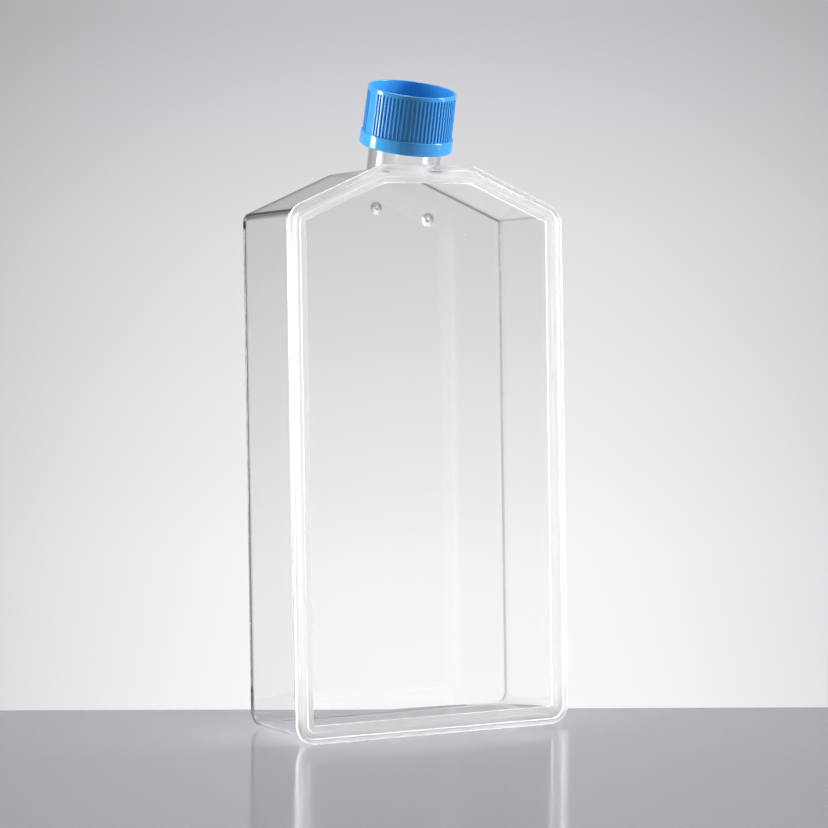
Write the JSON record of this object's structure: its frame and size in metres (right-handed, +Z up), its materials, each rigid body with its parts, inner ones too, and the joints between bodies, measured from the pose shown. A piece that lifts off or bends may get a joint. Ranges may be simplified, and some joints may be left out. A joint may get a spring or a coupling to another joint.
{
  "type": "cell culture flask",
  "caption": "Tall clear flask with sloped shoulders, a rimmed front cover welded on a flange, and a canted neck closed by a ribbed blue vented screw cap.",
  "frame": {"origin": "on the standing plane, at the middle of the overall box", "axes": "+Z up along the flask, X across its width, +Y out of the growth face, -Y out of the front cover towards which the neck is canted"},
  "size_m": [0.112, 0.0496, 0.2431],
  "materials": {
    "clear_polystyrene": "clear moulded polystyrene, glossy on both faces",
    "blue_polyethylene": "azure blue moulded polyethylene, soft sheen",
    "filter_film": "matt white porous film"
  },
  "bodies": {
    "flask": {"flask_body": "clear_polystyrene", "cover_plate": "clear_polystyrene"},
    "vent": {"vent_membrane": "filter_film"},
    "cap": {"screw_cap": "blue_polyethylene"}
  },
  "joints": [
    {"name": "cap_lift", "type": "slide", "parent": "flask", "child": "vent", "axis": [0, -0.2974, 0.9548], "range_m": [0, 0.013]},
    {"name": "cap_turn", "type": "hinge", "parent": "vent", "child": "cap", "pos_m": [0, -0.00254, 0.2173], "axis": [0, -0.2974, 0.9548], "range_deg": [0, 1165]}
  ],
  "couplings": [
    {"joint": "cap_lift", "follows": "cap_turn", "m_per_rad": 0.00063662}
  ]
}
